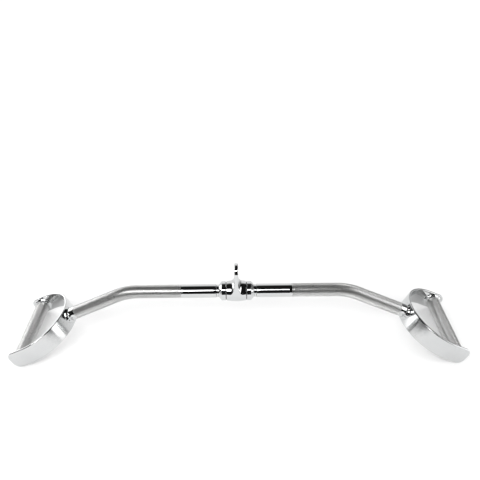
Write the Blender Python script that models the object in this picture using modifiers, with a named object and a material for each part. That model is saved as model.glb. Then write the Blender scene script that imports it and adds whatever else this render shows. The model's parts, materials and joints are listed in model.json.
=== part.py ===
"""Parallel grip lat bar: a bent, knurled steel bar with a revolving hanger at its middle and a
flat-strap stirrup, with a knurled cross grip, welded on each end.

The bar lies along X and +Z is up. The origin is on the floor under the hanger: the bar stands on
the lower corners of its four strap ends. Each half of the bar is built in the frame of an empty,
and the left half's empty is turned half a turn about Z.
"""

import math

import bmesh
import bpy
from mathutils import Matrix

# Driving dimensions, in metres
TUBE_RADIUS = 0.0143
TUBE_WALL = 0.003
BEND_START = 0.2075           # from the middle of the bar
BEND_RADIUS = 0.113
BEND_ANGLE = math.radians(24.9)
ARM_REACH = 0.120             # straight run from the bend to the strap's outer face
STRAP_WIDTH = 0.0412
STRAP_THICKNESS = 0.0048
STRAP_CORNER = 0.0149
STRAP_EDGE = 0.0015
CROWN_RADIUS = 0.0943         # the strap's bow is flatter at its crown than at its shoulders
CROWN_ANGLE = math.radians(44.4)
SHOULDER_RADIUS = 0.0791
STRAP_REACH = 0.1236          # from the crown to the strap's ends
GRIP_RADIUS = 0.0143
GRIP_WALL = 0.003
GRIP_REACH = 0.1012           # from the crown to the grip's axis
HANGER_HALF = 0.0206
BARREL_END_RADIUS = 0.0203
BARREL_BULGE = 0.002
LUG_HALF_THICKNESS = 0.004
LUG_FILLET = 0.010
LUG_ROUNDING = 0.0025
EYE_HEIGHT = 0.0494           # from the bar's axis to the eye's centre
EYE_RADIUS = 0.017
EYE_HOLE_RADIUS = 0.0088
EYE_HOLE_FLARE = 0.0018
WASHER_THICKNESS = 0.001
WASHER_RADIUS = 0.0186
PLUG_RADIUS = 0.0203
PLUG_HEAD_LENGTH = 0.0138
PLUG_CHAMFER_LENGTH = 0.0055
PLUG_CHAMFER_DROP = 0.006
NECK_RADIUS = 0.0132
NECK_LENGTH = 0.0055
SPIGOT_LENGTH = 0.034
SPINDLE_RADIUS = 0.008
SPINDLE_HALF = 0.072
BUSH_RADIUS = 0.0115
BUSH_LENGTH = 0.018
WELD_LEG = 0.005
EDGE = 0.0005
GAP = 0.0003                  # clearance between pieces that touch

# Worked out from the driving dimensions
STRAP_HALF = STRAP_THICKNESS / 2
BORE_RADIUS = SPINDLE_RADIUS + GAP
HANGER_BORE_RADIUS = BUSH_RADIUS + GAP
WASHER_START = HANGER_HALF + GAP
PLUG_START = WASHER_START + WASHER_THICKNESS + GAP
NECK_START = PLUG_START + PLUG_HEAD_LENGTH
SPIGOT_START = NECK_START + NECK_LENGTH
ARM_START = SPIGOT_START + GAP
BEND_END_X = BEND_START + BEND_RADIUS * math.sin(BEND_ANGLE)
BEND_END_DROP = BEND_RADIUS * (1 - math.cos(BEND_ANGLE))
CROWN_RUN = ARM_REACH + STRAP_HALF
CROWN_X = BEND_END_X + CROWN_RUN * math.cos(BEND_ANGLE)
CROWN_DROP = BEND_END_DROP + CROWN_RUN * math.sin(BEND_ANGLE)
CROWN_ARC = CROWN_RADIUS * CROWN_ANGLE
SHOULDER_ARC = SHOULDER_RADIUS * (math.pi / 2 - CROWN_ANGLE)
SHOULDER_CENTRE = (CROWN_RADIUS - (CROWN_RADIUS - SHOULDER_RADIUS) * math.cos(CROWN_ANGLE),
                   (CROWN_RADIUS - SHOULDER_RADIUS) * math.sin(CROWN_ANGLE))
LEG_LENGTH = STRAP_REACH - SHOULDER_CENTRE[0]
LEG_SPREAD = SHOULDER_CENTRE[1] + SHOULDER_RADIUS
STRAP_END = CROWN_ARC + SHOULDER_ARC + LEG_LENGTH
AXIS_HEIGHT = (CROWN_DROP + (STRAP_REACH - STRAP_CORNER) * math.sin(BEND_ANGLE)
               + (STRAP_WIDTH / 2 - STRAP_CORNER) * math.cos(BEND_ANGLE) + STRAP_CORNER)
GRIP_HALF = LEG_SPREAD - STRAP_HALF - GAP
FILLET_X = LUG_HALF_THICKNESS + LUG_FILLET

# Facets round a full turn, and steps along the curves
TUBE_FACETS = 32
HEAD_FACETS = 48
SMALL_FACETS = 28
BEND_STEPS = 8
BOW_STEPS = 10
CORNER_STEPS = 6
BARREL_STEPS = 26
FLANK_STEPS = 8
EYE_STEPS = 16
SADDLE_FACETS = 128
CUT_DEPTH = 0.003
MERGE = 0.000005

CHROME = ("polished_chrome", (0.78, 0.79, 0.80), 1.0, 0.06)
SATIN = ("satin_chrome", (0.74, 0.75, 0.76), 1.0, 0.22)
KNURLED = ("knurled_chrome", (0.62, 0.62, 0.61), 1.0, 0.38)
WELD = ("chromed_weld", (0.72, 0.73, 0.74), 1.0, 0.16)
STEEL = ("turned_steel", (0.52, 0.52, 0.53), 1.0, 0.35)
BRONZE = ("bush_bronze", (0.56, 0.41, 0.22), 1.0, 0.40)
NYLON = ("black_nylon", (0.03, 0.03, 0.03), 0.0, 0.55)


def clear_scene():
    for obj in list(bpy.data.objects):
        bpy.data.objects.remove(obj, do_unlink=True)


def collection(name):
    made = bpy.data.collections.new(name)
    bpy.context.scene.collection.children.link(made)
    return made


def material(finish):
    name, colour, metallic, roughness = finish
    found = bpy.data.materials.get(name)
    if found:
        return found
    made = bpy.data.materials.new(name)
    made.use_nodes = True
    shader = made.node_tree.nodes["Principled BSDF"]
    shader.inputs["Base Color"].default_value = (*colour, 1.0)
    shader.inputs["Metallic"].default_value = metallic
    shader.inputs["Roughness"].default_value = roughness
    return made


def place(obj, group, parent, placing):
    group.objects.link(obj)
    obj.parent = parent
    obj.matrix_local = placing or Matrix.Identity(4)
    return obj


def add_part(name, mesh, parent, finish, placing=None):
    """One named piece, placed in its parent's frame."""
    mesh.materials.append(material(finish))
    return place(bpy.data.objects.new(name, mesh), PARTS, parent, placing)


def add_cutter(mesh, parent, placing=None):
    cutter = place(bpy.data.objects.new(mesh.name, mesh), CUTTERS, parent, placing)
    cutter.hide_render = True
    cutter.display_type = "WIRE"
    return cutter


def add_frame(name, parent=None, placing=None):
    return place(bpy.data.objects.new(name, None), PARTS, parent, placing)


def cut(obj, cutter):
    step = obj.modifiers.new(f"cut by {cutter.name}", "BOOLEAN")
    step.operation = "DIFFERENCE"
    step.solver = "EXACT"
    step.object = cutter


def shade(mesh, angle=35):
    mesh.shade_smooth()
    mesh.set_sharp_from_angle(angle=math.radians(angle))


def mesh_from(name, shape):
    """A mesh from a finished bmesh, with its normals facing out."""
    bmesh.ops.recalc_face_normals(shape, faces=shape.faces)
    mesh = bpy.data.meshes.new(name)
    shape.to_mesh(mesh)
    shape.free()
    return mesh


def along_bar(x=0.0):
    """Lays a shape made along Z along the bar, so that its height reads as X."""
    return Matrix.Translation((x, 0, 0)) @ Matrix.Rotation(math.pi / 2, 4, "Y")


def profile_mesh(name, points):
    """A closed loop of edges in the XZ plane, given as (radius, height)."""
    mesh = bpy.data.meshes.new(name)
    count = len(points)
    edges = [(i, (i + 1) % count) for i in range(count)]
    mesh.from_pydata([(radius, 0.0, height) for radius, height in points], edges, [])
    return mesh


def evaluated_mesh(name, data, modify=None):
    """The finished mesh of a passing guide object made from this data."""
    guide = bpy.data.objects.new(name, data)
    bpy.context.scene.collection.objects.link(guide)
    if modify:
        modify(guide)
    graph = bpy.context.evaluated_depsgraph_get()
    made = bpy.data.meshes.new_from_object(guide.evaluated_get(graph))
    bpy.data.objects.remove(guide, do_unlink=True)
    shape = bmesh.new()
    shape.from_mesh(made)
    bmesh.ops.remove_doubles(shape, verts=shape.verts, dist=MERGE)
    return mesh_from(name, shape)


def turned_mesh(name, points, facets):
    """A profile swept a full turn about Z: it runs down its outer side and back up its bore."""
    def sweep(guide):
        screw = guide.modifiers.new("turn", "SCREW")
        screw.axis = "Z"
        screw.steps = facets
        screw.render_steps = facets
        screw.use_merge_vertices = True
        screw.merge_threshold = MERGE
    mesh = evaluated_mesh(name, profile_mesh(name, points), sweep)
    shade(mesh)
    return mesh


def turned(name, points, parent, finish, placing, facets=HEAD_FACETS):
    return add_part(name, turned_mesh(name, points, facets), parent, finish, placing)


def cylinder_mesh(name, radius, depth, facets=SMALL_FACETS):
    """A cylinder along Z, centred on its origin."""
    shape = bmesh.new()
    bmesh.ops.create_cone(shape, cap_ends=True, segments=facets, radius1=radius, radius2=radius, depth=depth)
    return mesh_from(name, shape)


def tube_skin(name, route, radius, facets):
    """The open skin of a tube along a route of points."""
    curve = bpy.data.curves.new(name, "CURVE")
    curve.dimensions = "3D"
    curve.bevel_depth = radius
    curve.bevel_resolution = (facets - 4) // 2
    spline = curve.splines.new("POLY")
    spline.points.add(len(route) - 1)
    for point, spot in zip(spline.points, route):
        point.co = (*spot, 1.0)
    return evaluated_mesh(name, curve)


def add_tube(name, route, radius, wall, parent, placing=None):
    """A tube with open ends and a wall of even thickness."""
    tube = add_part(name, tube_skin(name, route, radius, TUBE_FACETS), parent, KNURLED, placing)
    shade(tube.data)
    shell = tube.modifiers.new("tube wall", "SOLIDIFY")
    shell.thickness = wall
    shell.offset = -1.0
    return tube


def barrel_radius(x):
    return BARREL_END_RADIUS + BARREL_BULGE * (1 - (x / HANGER_HALF) ** 2)


def web_radius(x):
    """Radius of the barrel and of the fillet that climbs from it to the lug's side."""
    if x >= FILLET_X:
        return barrel_radius(x)
    into = min(FILLET_X - x, LUG_FILLET)
    return barrel_radius(FILLET_X) + LUG_FILLET - math.sqrt(LUG_FILLET ** 2 - into ** 2)


def lug_edge(height):
    """Half the lug's thickness where its outline stands at this height above the bar's axis."""
    below = barrel_radius(FILLET_X) + LUG_FILLET - height
    if below <= 0:
        return LUG_HALF_THICKNESS
    return FILLET_X - math.sqrt(LUG_FILLET ** 2 - min(below, LUG_FILLET) ** 2)


def hanger_radius(x, height, past_lug):
    """Radius of the hanger's skin at x, in a direction where the lug's outline has this height."""
    barrel = barrel_radius(x)
    rounding = max(min(LUG_ROUNDING, (height - barrel) / 2), 0.0)
    into = min(max(x - (lug_edge(height) - rounding), 0.0), rounding)
    top = height - (rounding - math.sqrt(rounding ** 2 - into ** 2))
    if past_lug:
        top = min(top, web_radius(x))
    return max(barrel, top)


def lug_outline():
    """The hanger seen along the bar: the barrel's circle and the eye's, joined by their tangents."""
    lower = barrel_radius(FILLET_X)
    lean = math.asin((lower - EYE_RADIUS) / EYE_HEIGHT)
    eye = [lean + (math.pi - 2 * lean) * step / EYE_STEPS for step in range(EYE_STEPS + 1)]
    sweep = math.pi + 2 * lean
    barrel = [math.pi - lean + sweep * step / BARREL_STEPS for step in range(BARREL_STEPS + 1)]
    top = [(EYE_RADIUS * math.cos(a), EYE_HEIGHT + EYE_RADIUS * math.sin(a)) for a in eye]
    bottom = [(lower * math.cos(a), lower * math.sin(a)) for a in barrel]
    return top + flank(bottom[0], top[-1])[::-1] + bottom + flank(bottom[-1], top[0])


def flank(low, high):
    """Points up a tangent, evenly spread in angle round the bar's axis."""
    swing = math.atan2(math.dist(low, high), math.hypot(*low))
    shares = [math.tan(swing * step / FLANK_STEPS) / math.tan(swing) for step in range(1, FLANK_STEPS)]
    return [tuple(a + (b - a) * share for a, b in zip(low, high)) for share in shares]


def hanger_stations():
    """Cuts across one half of the skin, as (x, past_lug). The lug's flat side lies between two at one x."""
    edge = [LUG_HALF_THICKNESS - LUG_ROUNDING * share for share in (0.75, 0.4, 0.12, 0.0)]
    fillet = [LUG_HALF_THICKNESS + LUG_FILLET * share for share in (0.0, 0.08, 0.22, 0.4, 0.6, 0.8, 1.0)]
    barrel = [HANGER_HALF - 6 * EDGE, HANGER_HALF - EDGE]
    return [(x, False) for x in [0.0] + edge] + [(x, True) for x in fillet + barrel]


def hanger_section(height):
    """One cut through the hanger along the bar, from its left end's skin to its bore, as (x, radius)."""
    right = [(x, hanger_radius(x, height, past_lug)) for x, past_lug in hanger_stations()]
    left = [(-x, radius) for x, radius in reversed(right[1:])]
    end_radius = BARREL_END_RADIUS - EDGE
    rim = [(HANGER_HALF, end_radius), (HANGER_HALF, HANGER_BORE_RADIUS),
           (-HANGER_HALF, HANGER_BORE_RADIUS), (-HANGER_HALF, end_radius)]
    return left + right + rim


def build_hanger(pivot):
    """The revolving hanger: a bulged barrel that rises through fillets into a lug with an eye."""
    shape = bmesh.new()
    loops = []
    for y, z in lug_outline():
        height = math.hypot(y, z)
        section = hanger_section(height)
        loops.append([shape.verts.new((x, y / height * r, z / height * r)) for x, r in section])
    for this, after in zip(loops, loops[1:] + loops[:1]):
        for row in range(len(this)):
            beyond = (row + 1) % len(this)
            shape.faces.new((this[row], this[beyond], after[beyond], after[row]))
    bmesh.ops.remove_doubles(shape, verts=shape.verts, dist=MERGE)
    hanger = add_part("hanger", mesh_from("hanger", shape), pivot, CHROME)
    shade(hanger.data, 40)
    cut(hanger, eye_cutter(pivot))


def eye_cutter(pivot):
    """A pin whose ends flare, so that the eye's mouths come out rounded."""
    face = LUG_HALF_THICKNESS
    mouth = []
    for step in range(4):
        angle = math.radians(30 * step)
        mouth.append((EYE_HOLE_RADIUS + EYE_HOLE_FLARE * (1 - math.cos(angle)),
                      face - EYE_HOLE_FLARE * (1 - math.sin(angle))))
    half = mouth + [(EYE_HOLE_RADIUS + EYE_HOLE_FLARE, face + CUT_DEPTH), (0.0, face + CUT_DEPTH)]
    points = list(reversed(half)) + [(r, -x) for r, x in half]
    placing = Matrix.Translation((0, 0, EYE_HEIGHT)) @ along_bar()
    return add_cutter(turned_mesh("eye_cutter", points, SMALL_FACETS), pivot, placing)


def build_bush(name, way, pivot):
    end = HANGER_HALF - GAP
    start = end - BUSH_LENGTH
    points = [(BORE_RADIUS, end), (BUSH_RADIUS, end), (BUSH_RADIUS, start), (BORE_RADIUS, start)]
    placing = Matrix.Rotation(0 if way > 0 else math.pi, 4, "Z") @ along_bar()
    turned(f"bush_{name}", points, pivot, BRONZE, placing, SMALL_FACETS)


def build_washer(name, half):
    start = WASHER_START
    end = start + WASHER_THICKNESS
    points = [(BORE_RADIUS, end), (WASHER_RADIUS, end), (WASHER_RADIUS, start), (BORE_RADIUS, start)]
    turned(f"thrust_washer_{name}", points, half, NYLON, along_bar(), SMALL_FACETS)


def build_plug(name, half):
    """The tube's end plug: a head with a chamfered shoulder, a slimmer neck and a spigot."""
    spigot = TUBE_RADIUS - TUBE_WALL - GAP
    shoulder = PLUG_RADIUS - PLUG_CHAMFER_DROP
    end = SPIGOT_START + SPIGOT_LENGTH
    points = [(BORE_RADIUS, end), (spigot - EDGE, end), (spigot, end - EDGE), (spigot, SPIGOT_START),
              (NECK_RADIUS, SPIGOT_START), (NECK_RADIUS, NECK_START), (shoulder, NECK_START),
              (PLUG_RADIUS, NECK_START - PLUG_CHAMFER_LENGTH), (PLUG_RADIUS, PLUG_START + EDGE),
              (PLUG_RADIUS - EDGE, PLUG_START), (BORE_RADIUS, PLUG_START)]
    turned(f"end_plug_{name}", points, half, CHROME, along_bar())


def build_spindle(root):
    right = [(SPINDLE_RADIUS - 2 * EDGE, SPINDLE_HALF), (SPINDLE_RADIUS, SPINDLE_HALF - 2 * EDGE)]
    left = [(radius, -x) for radius, x in reversed(right)]
    points = [(0.0, SPINDLE_HALF)] + right + left + [(0.0, -SPINDLE_HALF)]
    turned("spindle", points, root, STEEL, along_bar(), SMALL_FACETS)


def arm_route(end_run):
    """Centreline of one arm, from the end plug's neck to a distance beyond the bend."""
    points = [(ARM_START, 0.0, 0.0)]
    for step in range(BEND_STEPS + 1):
        angle = BEND_ANGLE * step / BEND_STEPS
        points.append((BEND_START + BEND_RADIUS * math.sin(angle), 0.0, BEND_RADIUS * (math.cos(angle) - 1)))
    end_drop = BEND_END_DROP + end_run * math.sin(BEND_ANGLE)
    points.append((BEND_END_X + end_run * math.cos(BEND_ANGLE), 0.0, -end_drop))
    return points


def saddle_cutter(name, bow):
    """The strap's outer face at its crown, as a roller that copes the pieces welded on it."""
    radius = CROWN_RADIUS + STRAP_HALF + GAP
    roller = cylinder_mesh(f"saddle_cutter_{name}", radius, 2 * STRAP_WIDTH, SADDLE_FACETS)
    return add_cutter(roller, bow, Matrix.Translation((CROWN_RADIUS, 0, 0)))


def strap_stations():
    """Distances along the strap from its crown, close together at the end's rounded corners."""
    stations = [CROWN_ARC * step / BOW_STEPS for step in range(BOW_STEPS + 1)]
    stations += [CROWN_ARC + SHOULDER_ARC * step / BOW_STEPS for step in range(1, BOW_STEPS + 1)]
    for step in range(CORNER_STEPS + 1):
        angle = math.pi / 2 * step / CORNER_STEPS
        stations.append(STRAP_END - STRAP_CORNER * (1 - math.sin(angle)))
    return [-station for station in reversed(stations[1:])] + stations


def strap_point(station):
    """Where a distance along the strap's centreline lies in the bow's plane, as (reach, across)."""
    run = abs(station)
    if run <= CROWN_ARC:
        angle = run / CROWN_RADIUS
        reach, across = CROWN_RADIUS * (1 - math.cos(angle)), CROWN_RADIUS * math.sin(angle)
    else:
        turned_by = min((run - CROWN_ARC) / SHOULDER_RADIUS + CROWN_ANGLE, math.pi / 2)
        leg = max(run - CROWN_ARC - SHOULDER_ARC, 0.0)
        reach = SHOULDER_CENTRE[0] - SHOULDER_RADIUS * math.cos(turned_by) + leg
        across = SHOULDER_CENTRE[1] + SHOULDER_RADIUS * math.sin(turned_by)
    return reach, math.copysign(across, station)


def strap_half_width(station):
    """Half the strap's width: full along its length, rounded off at both corners of each end."""
    into = STRAP_CORNER - (STRAP_END - abs(station))
    if into <= 0:
        return STRAP_WIDTH / 2
    return STRAP_WIDTH / 2 - STRAP_CORNER + math.sqrt(max(STRAP_CORNER ** 2 - into ** 2, 0.0))


def build_stirrup(name, bow):
    """Flat strap bent to a bow with two parallel legs: a ribbon given thickness and broken edges."""
    shape = bmesh.new()
    columns = []
    for station in strap_stations():
        reach, across = strap_point(station)
        half = strap_half_width(station)
        columns.append([shape.verts.new((reach, across, side * half)) for side in (-1, 1)])
    for (low, high), (next_low, next_high) in zip(columns, columns[1:]):
        shape.faces.new((low, high, next_high, next_low))
    stirrup = add_part(f"stirrup_{name}", mesh_from(f"stirrup_{name}", shape), bow, SATIN)
    shade(stirrup.data)
    shell = stirrup.modifiers.new("strap thickness", "SOLIDIFY")
    shell.thickness = STRAP_THICKNESS
    shell.offset = 0.0
    shell.use_even_offset = True
    edges = stirrup.modifiers.new("broken edges", "BEVEL")
    edges.width = STRAP_EDGE
    edges.segments = 2
    edges.limit_method = "ANGLE"
    edges.angle_limit = math.radians(50)


def build_grip(name, bow):
    route = [(0.0, -GRIP_HALF, 0.0), (0.0, GRIP_HALF, 0.0)]
    add_tube(f"grip_{name}", route, GRIP_RADIUS, GRIP_WALL, bow, Matrix.Translation((GRIP_REACH, 0, 0)))


def bead_profile(radius, root):
    """A fillet weld round a tube: height 0 is the plate's face, and the bead climbs the tube."""
    inner = radius + GAP
    shares = [(0.0, 1.0), (0.16, 0.93), (0.42, 0.66), (0.68, 0.42), (0.92, 0.18), (1.0, 0.0)]
    bead = [(inner + WELD_LEG * out, GAP + WELD_LEG * up) for out, up in shares]
    return bead + [(inner + WELD_LEG, root), (inner, root)] if root < 0 else bead + [(inner, GAP)]


def build_welds(name, bow, saddle):
    facing_arm = Matrix.Translation((-STRAP_HALF, 0, 0)) @ Matrix.Rotation(-math.pi / 2, 4, "Y")
    points = bead_profile(TUBE_RADIUS, -CUT_DEPTH)
    bead = turned(f"arm_weld_{name}", points, bow, WELD, facing_arm, TUBE_FACETS)
    cut(bead, saddle)
    for end, way in (("front", -1), ("rear", 1)):
        leg_face = Matrix.Translation((GRIP_REACH, way * (LEG_SPREAD - STRAP_HALF), 0))
        facing_in = leg_face @ Matrix.Rotation(way * math.pi / 2, 4, "X")
        points = bead_profile(GRIP_RADIUS, 0.0)
        turned(f"grip_weld_{name}_{end}", points, bow, WELD, facing_in, TUBE_FACETS)


def build_half(name, way, root):
    """Everything on one side of the middle. The left half is the right one turned about Z."""
    half = add_frame(f"{name}_half", root, Matrix.Rotation(0 if way > 0 else math.pi, 4, "Z"))
    placing = Matrix.Translation((CROWN_X, 0, -CROWN_DROP)) @ Matrix.Rotation(BEND_ANGLE, 4, "Y")
    bow = add_frame(f"{name}_bow", half, placing)
    saddle = saddle_cutter(name, bow)
    build_washer(name, half)
    build_plug(name, half)
    arm = add_tube(f"arm_{name}", arm_route(ARM_REACH + CUT_DEPTH), TUBE_RADIUS, TUBE_WALL, half)
    cut(arm, saddle)
    build_stirrup(name, bow)
    build_grip(name, bow)
    build_welds(name, bow, saddle)


def main():
    root = add_frame("bar_axis", None, Matrix.Translation((0, 0, AXIS_HEIGHT)))
    pivot = add_frame("hanger_pivot", root)
    build_hanger(pivot)
    build_spindle(root)
    for name, way in (("right", 1), ("left", -1)):
        build_bush(name, way, pivot)
        build_half(name, way, root)


clear_scene()
PARTS = collection("parallel_grip_lat_bar")
CUTTERS = collection("cutters")
main()
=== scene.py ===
"""Looks of the parallel grip lat bar: its chrome, knurling, strap and welds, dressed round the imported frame.

Lengths are in metres. Each half of the bar is made in the frame of the right half, whose origin is on
the bar's axis at its middle, and the left half is the same mesh turned half a turn about Z.
"""

import json
import math

import bmesh
import bpy
import numpy as np
from mathutils import Matrix, Vector


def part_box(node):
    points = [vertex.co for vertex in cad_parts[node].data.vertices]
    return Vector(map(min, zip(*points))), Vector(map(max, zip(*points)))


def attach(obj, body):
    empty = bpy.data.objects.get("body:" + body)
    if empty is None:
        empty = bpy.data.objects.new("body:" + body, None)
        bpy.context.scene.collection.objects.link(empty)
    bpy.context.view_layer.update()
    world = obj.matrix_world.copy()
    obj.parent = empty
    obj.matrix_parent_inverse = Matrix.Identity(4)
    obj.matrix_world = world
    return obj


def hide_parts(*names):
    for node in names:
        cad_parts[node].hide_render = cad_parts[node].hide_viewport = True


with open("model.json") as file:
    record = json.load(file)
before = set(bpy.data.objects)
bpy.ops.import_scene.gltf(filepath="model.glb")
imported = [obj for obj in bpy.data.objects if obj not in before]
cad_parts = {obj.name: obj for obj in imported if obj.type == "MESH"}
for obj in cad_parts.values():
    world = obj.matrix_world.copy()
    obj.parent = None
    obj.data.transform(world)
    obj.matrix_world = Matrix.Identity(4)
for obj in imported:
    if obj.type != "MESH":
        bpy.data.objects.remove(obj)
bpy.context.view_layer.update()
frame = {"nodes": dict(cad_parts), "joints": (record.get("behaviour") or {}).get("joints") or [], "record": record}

# Places read from the frame
PIVOT = Vector(frame["joints"][0]["pos_m"])
EYE_HEIGHT = next(m for m in frame["record"]["mounts"] if m["name"] == "hanger_eye")["pos_m"][2] - PIVOT.z
HANGER_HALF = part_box("hanger")[1].x
PLUG_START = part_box("end_plug_right")[0].x

# Arms, as on the solids
TUBE_RADIUS = 0.0143
TUBE_ROUNDING = 0.0007
BEND_START = 0.2075
BEND_RADIUS = 0.113
BEND_ANGLE = math.radians(24.9)
ARM_REACH = 0.120             # straight run from the bend to the strap's outer face
SADDLE_FADE = 0.004           # length over which the arm's end takes the strap's curve

# Knurling
KNURL_STARTS = 44             # grooves of each hand round the tube
KNURL_PERIOD = 0.0022         # along the tube
KNURL_DEPTH = 0.00038
KNURL_LAND = 0.61             # width of a diamond's flat top, as a share of the diamond
KNURL_RUNOUT = 0.0005
KNURL_START = 0.1160          # on an arm, from the middle of the bar
KNURL_TAIL = 0.1020           # on an arm, where the knurling ends, from the end of the bend

# Stirrups, whose crown is the middle of the strap where the arm meets it
CROWN_X = 0.3661
CROWN_DROP = 0.06204
CROWN_RADIUS = 0.0943
CROWN_ANGLE = math.radians(44.4)
SHOULDER_RADIUS = 0.0791
STRAP_WIDTH = 0.0411
STRAP_HALF = 0.0024
STRAP_CORNER = 0.0149
STRAP_EDGE = 0.0019           # rounding of the strap's long edges
STRAP_REACH = 0.12355         # from the crown to the strap's ends
GRIP_REACH = 0.1012           # from the crown to the grip's axis

# Weld beads
WELD_LEG = 0.005
WELD_ROOT = 0.0008            # how far a bead reaches into the tube and the plate
WELD_WANDER = (0.06, 0.05)    # how much the leg wanders, in three waves round the tube and in five
WELD_FLAT = 0.86              # how far the middle of the bead's face reaches, as a share of the leg
WELD_RIPPLES = 13
WELD_RIPPLE = 0.0005
RIPPLE_LEVEL = 0.6            # how high on a ripple's arch the plain fillet lies
RIPPLE_LAP = 1.8              # how far a ripple leans over the next, in radians of its wave
RIPPLE_DRIFT = 1.1            # how unevenly the ripples follow each other, in radians of their wave
RIPPLE_SWELL = 0.35           # how much some ripples stand out more than others
RIPPLE_FADE = 3.2             # how fast the ripples fade towards the bead's two edges
RIPPLE_LEFT = 0.35            # share of a ripple that is left at the plate
GRIP_SMOOTH = 0.8 * WELD_LEG  # smooth end of a grip, most of it under its weld

# Hanger
BARREL_END_RADIUS = 0.0203
BARREL_BULGE = 0.002
BARREL_EDGE = 0.0006          # rounding of the barrel's ends
BARREL_RIM = 0.0004           # flat beside that rounding that keeps the end's shading even
HANGER_BORE_RADIUS = 0.0118
LUG_HALF_THICKNESS = 0.004
LUG_FILLET = 0.010
LUG_ROUNDING = 0.0025
LUG_BLEND = math.radians(60)  # how far below the lug's foot its flare fades into the barrel
EYE_RADIUS = 0.017
EYE_HOLE_RADIUS = 0.0088
EYE_HOLE_FLARE = 0.0018
EYE_MOUTH_TURN = 80           # degrees of rounding at the eye's mouths
PIN_CORE = 0.0002             # radius of the closed ends of the pin that cuts the eye
PIN_RIM = 2.0                 # how far those ends stand out round the pin, in flares
PIN_PROUD = 0.2               # how far they stand out of the lug, in flares

# End plugs
PLUG_RADIUS = 0.0203
PLUG_BORE_RADIUS = 0.0083
PLUG_HEAD_LENGTH = 0.0138
PLUG_FACE_ROUNDING = 0.0005
PLUG_CHAMFER_LENGTH = 0.0055
PLUG_CHAMFER_DROP = 0.006
PLUG_CHAMFER_ROUNDING = 0.0006
PLUG_SHOULDER_ROUNDING = 0.0004
NECK_RADIUS = 0.0132
NECK_LENGTH = 0.0055
NECK_ROUNDING = 0.0003
NECK_GROOVE = 0.0005
NECK_GROOVE_START = 0.0011
NECK_GROOVE_ROUNDING = 0.0001
SPIGOT_RADIUS = 0.011
SPIGOT_LENGTH = 0.034
SPIGOT_ROUNDING = 0.0005
GAP = 0.0003                  # between the plug's neck and the tube

# Worked out from those
ARM_START = PLUG_START + PLUG_HEAD_LENGTH + NECK_LENGTH + GAP
BEND_ARC = BEND_RADIUS * BEND_ANGLE
ARM_END = BEND_START + BEND_ARC + ARM_REACH
CROWN_ARC = CROWN_RADIUS * CROWN_ANGLE
SHOULDER_ARC = SHOULDER_RADIUS * (math.pi / 2 - CROWN_ANGLE)
SHOULDER_CENTRE = (CROWN_RADIUS - (CROWN_RADIUS - SHOULDER_RADIUS) * math.cos(CROWN_ANGLE),
                   (CROWN_RADIUS - SHOULDER_RADIUS) * math.sin(CROWN_ANGLE))
LEG_SPREAD = SHOULDER_CENTRE[1] + SHOULDER_RADIUS
STRAP_END = CROWN_ARC + SHOULDER_ARC + STRAP_REACH - SHOULDER_CENTRE[0]
STRAP_OUTER_RADIUS = CROWN_RADIUS + STRAP_HALF
GRIP_HALF = LEG_SPREAD - STRAP_HALF
FILLET_X = LUG_HALF_THICKNESS + LUG_FILLET

# Facets
MERGE_DISTANCE = 1e-7
TURNED_FACETS = 160
CORNER_STEPS = 5
CORNER_LEAD = 0.0003          # flat beside a turned corner that keeps its neighbour's shading even
TUBE_END_STEPS = 5
SMOOTH_RINGS = (12, 10)       # of an arm's smooth stretches, before and after its knurling
BOW_STEP = math.radians(2.2)  # turn between the strap's cross-sections in its bends
LEG_SECTIONS = 4
STRAP_CORNER_SECTIONS = 15
STRAP_EDGE_STEPS = 4
BEAD_STEPS = 12               # across a bead's face
RIPPLE_FACETS = 16            # along each of a bead's ripples
LUG_TOP_SHARES = (0.0, 0.35, 0.7, 0.9)
LUG_SIDE_SHARES = (0.96, 0.7, 0.3, 0.04)
LUG_EDGE_STEPS = 8
FILLET_STEPS = 14
BARREL_STEPS = 8
BARREL_FACETS = 108
FLANK_STEPS = 36
EYE_FACETS = 71
EYE_HOLE_FACETS = 96
EYE_MOUTH_STEPS = 8
FOOT_ROUNDS = 12              # of the search for the foot of the lug's fillet

WHITE = (1.0, 1.0, 1.0)


# Meshes

def ring_faces(rings, size, closed=False):
    """Quads between rings of vertices that follow each other."""
    faces = []
    for row in range(rings if closed else rings - 1):
        low = row * size
        high = (row + 1) % rings * size
        for column in range(size):
            after = (column + 1) % size
            faces.append((low + column, low + after, high + after, high + column))
    return faces


def make_mesh(name, points, faces):
    """A mesh whose faces point out, without the vertices that lie on each other."""
    mesh = bpy.data.meshes.new(name)
    mesh.from_pydata([tuple(point) for point in points], [], faces)
    shape = bmesh.new()
    shape.from_mesh(mesh)
    bmesh.ops.remove_doubles(shape, verts=shape.verts, dist=MERGE_DISTANCE)
    bmesh.ops.recalc_face_normals(shape, faces=shape.faces)
    shape.to_mesh(mesh)
    shape.free()
    mesh.shade_smooth()
    return mesh


def add_piece(name, mesh, placing, body, nodes, finishes, even=True):
    """A piece in its place, made from a copy of the mesh, that rides on a body and stands for CAD nodes."""
    mesh = mesh.copy()
    mesh.name = name
    mesh.transform(placing)
    for finish in finishes:
        mesh.materials.append(finish)
    piece = bpy.data.objects.new(name, mesh)
    bpy.context.scene.collection.objects.link(piece)
    if even:
        even_normals(piece)
    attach(piece, body)
    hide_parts(*nodes)
    return piece


def even_normals(piece):
    """Lets the large faces rule the shading, so that flats stay flat beside their rounded corners."""
    step = piece.modifiers.new("even normals", "WEIGHTED_NORMAL")
    step.mode = "FACE_AREA"


def along_x():
    """Lays a shape turned about Z along the bar, so that its height reads as X."""
    return Matrix.Rotation(math.pi / 2, 4, "Y")


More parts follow.
